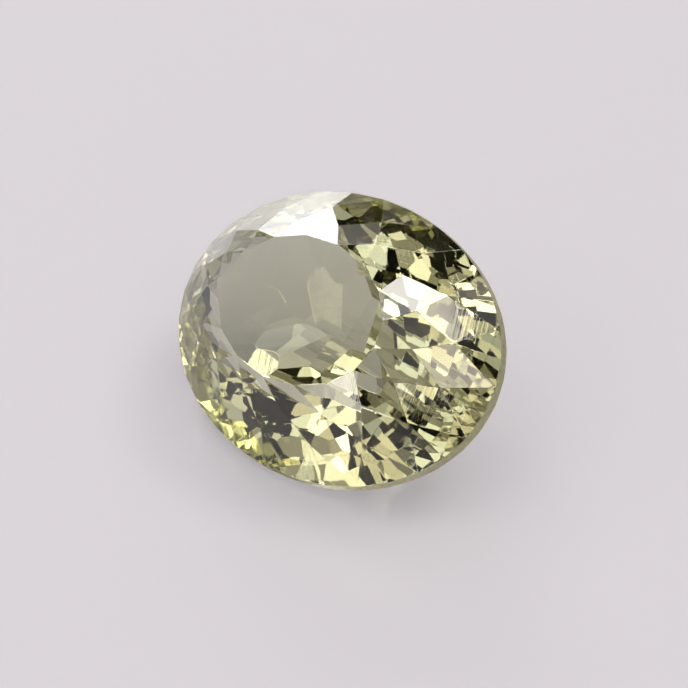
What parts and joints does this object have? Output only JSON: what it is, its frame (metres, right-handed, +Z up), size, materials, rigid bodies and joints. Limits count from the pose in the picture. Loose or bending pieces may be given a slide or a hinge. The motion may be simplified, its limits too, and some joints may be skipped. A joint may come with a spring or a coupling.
{
  "type": "faceted sillimanite gemstone",
  "caption": "Loose oval faceted sillimanite gemstone, pale yellow-green and clear, lying tipped on one pavilion facet.",
  "frame": {"origin": "middle of the bounding box at its lowest, on the surface that the stone rests on", "axes": "+Z up, square to the pavilion facet that the stone rests on; the table faces up and leans towards -X and -Y"},
  "size_m": [0.0076, 0.0076, 0.0049],
  "materials": {
    "polished_sillimanite": "clear pale yellow-green crystal with polished facets and a frosted girdle"
  },
  "bodies": {
    "root": {"stone": "polished_sillimanite"}
  },
  "joints": []
}
